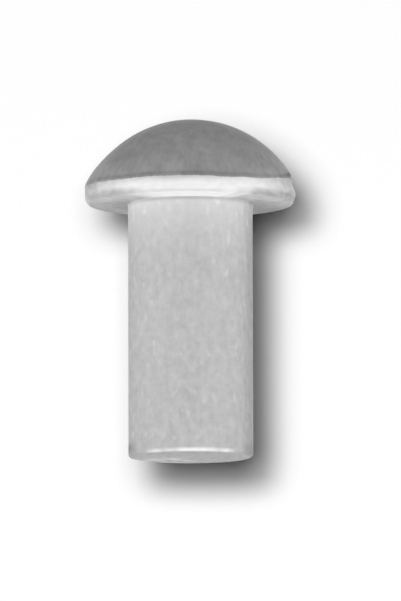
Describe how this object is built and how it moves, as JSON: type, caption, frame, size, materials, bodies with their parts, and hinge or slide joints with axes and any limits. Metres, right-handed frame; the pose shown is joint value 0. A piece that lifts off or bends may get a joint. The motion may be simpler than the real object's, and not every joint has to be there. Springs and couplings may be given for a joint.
{
  "type": "rivet",
  "caption": "Solid aluminium round head rivet, unset: a spherical domed head with a rounded rim over a plain straight cylindrical shank with a square cut end.",
  "frame": {"origin": "on the rivet's axis, in the plane of the head's bearing face, where the shank leaves the head", "axes": "+Z along the axis towards the top of the dome, so the shank points along -Z; X and Y are square to the axis and interchangeable, because the rivet is a body of revolution"},
  "size_m": [0.0054, 0.0054, 0.0087],
  "materials": {
    "bare_aluminium": "bare soft aluminium as headed, with no coating: a duller die-pressed dome, a bright rim and bearing face, and a drawn shank with fine lengthwise streaks"
  },
  "bodies": {
    "root": {"rivet": "bare_aluminium"}
  },
  "joints": []
}
